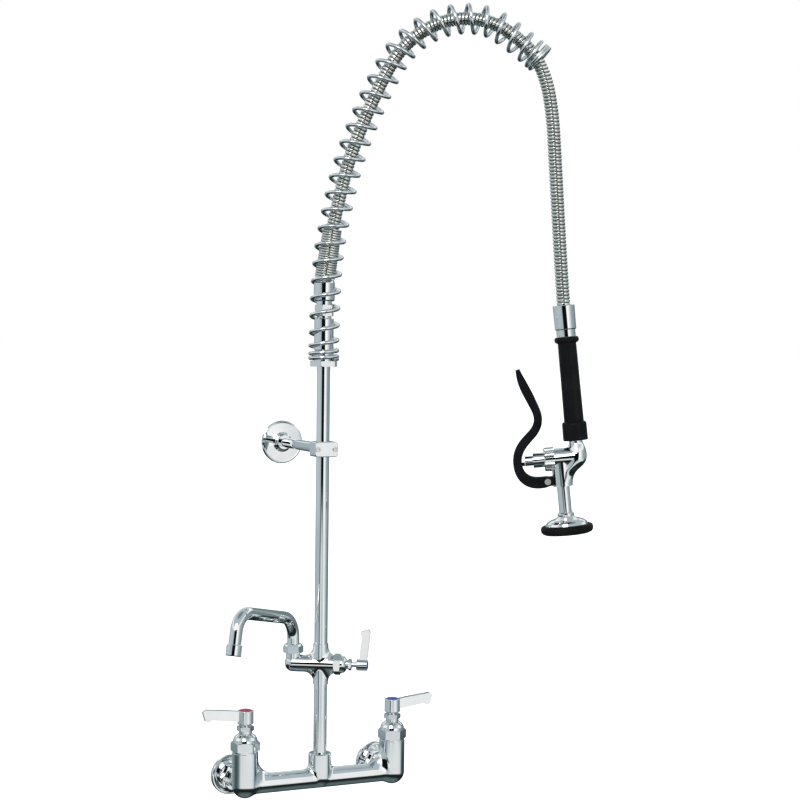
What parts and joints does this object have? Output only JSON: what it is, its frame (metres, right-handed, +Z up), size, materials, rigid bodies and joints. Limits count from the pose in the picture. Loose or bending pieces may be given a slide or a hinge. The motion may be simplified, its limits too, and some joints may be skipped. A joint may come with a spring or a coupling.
{
  "type": "pre-rinse faucet",
  "caption": "Wall-mount pre-rinse faucet: lever valves, riser with add-on swing spout, wall bracket, sprung overhead hose and squeeze-lever spray valve.",
  "frame": {"origin": "midway between the two wall inlets, on the wall plane", "axes": "+X to the right along the inlets, -Y towards the user, +Z up"},
  "size_m": [0.4684, 0.3324, 1.0176],
  "materials": {
    "chrome": "polished chrome plate on brass",
    "rubber": "matt moulded rubber",
    "grip_rubber": "satin black grip sleeve",
    "lever_coating": "satin black coating on a steel lever",
    "index_red": "gloss red button",
    "index_blue": "gloss blue button",
    "hose_armour": "interlocked stainless strip",
    "spring_steel": "bright plated spring wire",
    "screw_steel": "turned stainless steel",
    "brass": "plain turned brass",
    "spray_face": "moulded black spray face",
    "screen": "perforated stainless disc"
  },
  "bodies": {
    "faucet": {"base_body": "chrome", "hot_inlet_flange": "chrome", "cold_inlet_flange": "chrome", "hot_coupling_nut": "chrome", "cold_coupling_nut": "chrome", "hot_bonnet": "chrome", "cold_bonnet": "chrome", "addon_bonnet": "chrome", "hot_packing_nut": "chrome", "cold_packing_nut": "chrome", "addon_packing_nut": "chrome", "lower_nipple": "chrome", "addon_body": "chrome", "riser_pipe": "chrome", "spout_nut": "chrome", "bracket_flange": "chrome", "bracket_nipple": "chrome", "clamp_rear": "chrome", "clamp_front": "chrome", "clamp_screws": "screw_steel", "spring_seat_nut": "chrome", "adapter_sleeve": "chrome"},
    "hot_valve": {"hot_stem": "chrome", "hot_seat_washer": "rubber", "hot_handle": "chrome", "hot_handle_screw": "screw_steel", "hot_index_button": "index_red"},
    "cold_valve": {"cold_stem": "chrome", "cold_seat_washer": "rubber", "cold_handle": "chrome", "cold_handle_screw": "screw_steel", "cold_index_button": "index_blue"},
    "addon_valve": {"addon_stem": "chrome", "addon_seat_washer": "rubber", "addon_handle": "chrome", "addon_handle_screw": "screw_steel", "addon_index_button": "index_blue"},
    "spout": {"spout_tube": "chrome", "spout_swivel_ring": "rubber", "aerator_housing": "chrome", "aerator_screen": "screen"},
    "hose_swivel": {"hose_nut": "chrome", "lower_ferrule": "chrome", "hose_guard": "hose_armour"},
    "gooseneck": {"overhead_spring": "spring_steel", "hose_arch": "hose_armour"},
    "spray_drop": {"hose_drop": "hose_armour", "hose_end_ferrule": "chrome", "grip_adapter": "brass", "grip": "grip_rubber", "spray_body": "chrome", "spray_bonnet": "chrome", "nozzle_tube": "chrome", "spray_bell": "chrome", "spray_face": "spray_face", "bumper": "rubber", "lever_pivot": "screw_steel", "return_spring": "spring_steel"},
    "spray_lever": {"spray_lever": "lever_coating"},
    "spray_stem": {"spray_stem": "chrome"}
  },
  "joints": [
    {"name": "hot_handle_turn", "type": "hinge", "parent": "faucet", "child": "hot_valve", "pos_m": [-0.1016, -0.061, 0.08], "axis": [0, 0, 1], "range_deg": [0, 90]},
    {"name": "cold_handle_turn", "type": "hinge", "parent": "faucet", "child": "cold_valve", "pos_m": [0.1016, -0.061, 0.08], "axis": [0, 0, 1], "range_deg": [-90, 0]},
    {"name": "addon_handle_turn", "type": "hinge", "parent": "faucet", "child": "addon_valve", "pos_m": [0, -0.061, 0.148], "axis": [0.866, -0.5, 0], "range_deg": [0, 90]},
    {"name": "spout_swing", "type": "hinge", "parent": "faucet", "child": "spout", "pos_m": [-0.03118, -0.043, 0.17], "axis": [0, 0, 1], "range_deg": [-40, 75]},
    {"name": "gooseneck_turn", "type": "hinge", "parent": "faucet", "child": "hose_swivel", "pos_m": [0, -0.061, 0.6], "axis": [0, 0, 1], "range_deg": [-150, 30]},
    {"name": "gooseneck_bend", "type": "hinge", "parent": "hose_swivel", "child": "gooseneck", "pos_m": [0.01263, -0.06771, 0.73], "axis": [0.4695, 0.8829, 0], "range_deg": [0, 25], "stiffness_Nm_per_rad": 14, "springref_deg": -24.06, "deforming": ["overhead_spring", "hose_arch"]},
    {"name": "hose_hang", "type": "hinge", "parent": "gooseneck", "child": "spray_drop", "pos_m": [0.23045, -0.18353, 0.932], "axis": [0.4695, 0.8829, 0], "range_deg": [-25, 0], "deforming": ["hose_drop"]},
    {"name": "spray_lever_squeeze", "type": "hinge", "parent": "spray_drop", "child": "spray_lever", "pos_m": [0.25413, -0.19612, 0.38803], "axis": [0.4695, 0.8829, 0], "range_deg": [0, 12], "stiffness_Nm_per_rad": 2, "springref_deg": -20.05},
    {"name": "spray_stem_push", "type": "slide", "parent": "spray_drop", "child": "spray_stem", "axis": [0.8781, -0.4669, 0.1045], "range_m": [0, 0.0072], "deforming": ["return_spring"]}
  ],
  "couplings": [
    {"joint": "hose_hang", "follows": "gooseneck_bend", "ratio": -1},
    {"joint": "spray_stem_push", "follows": "spray_lever_squeeze", "m_per_rad": 0.0338}
  ]
}
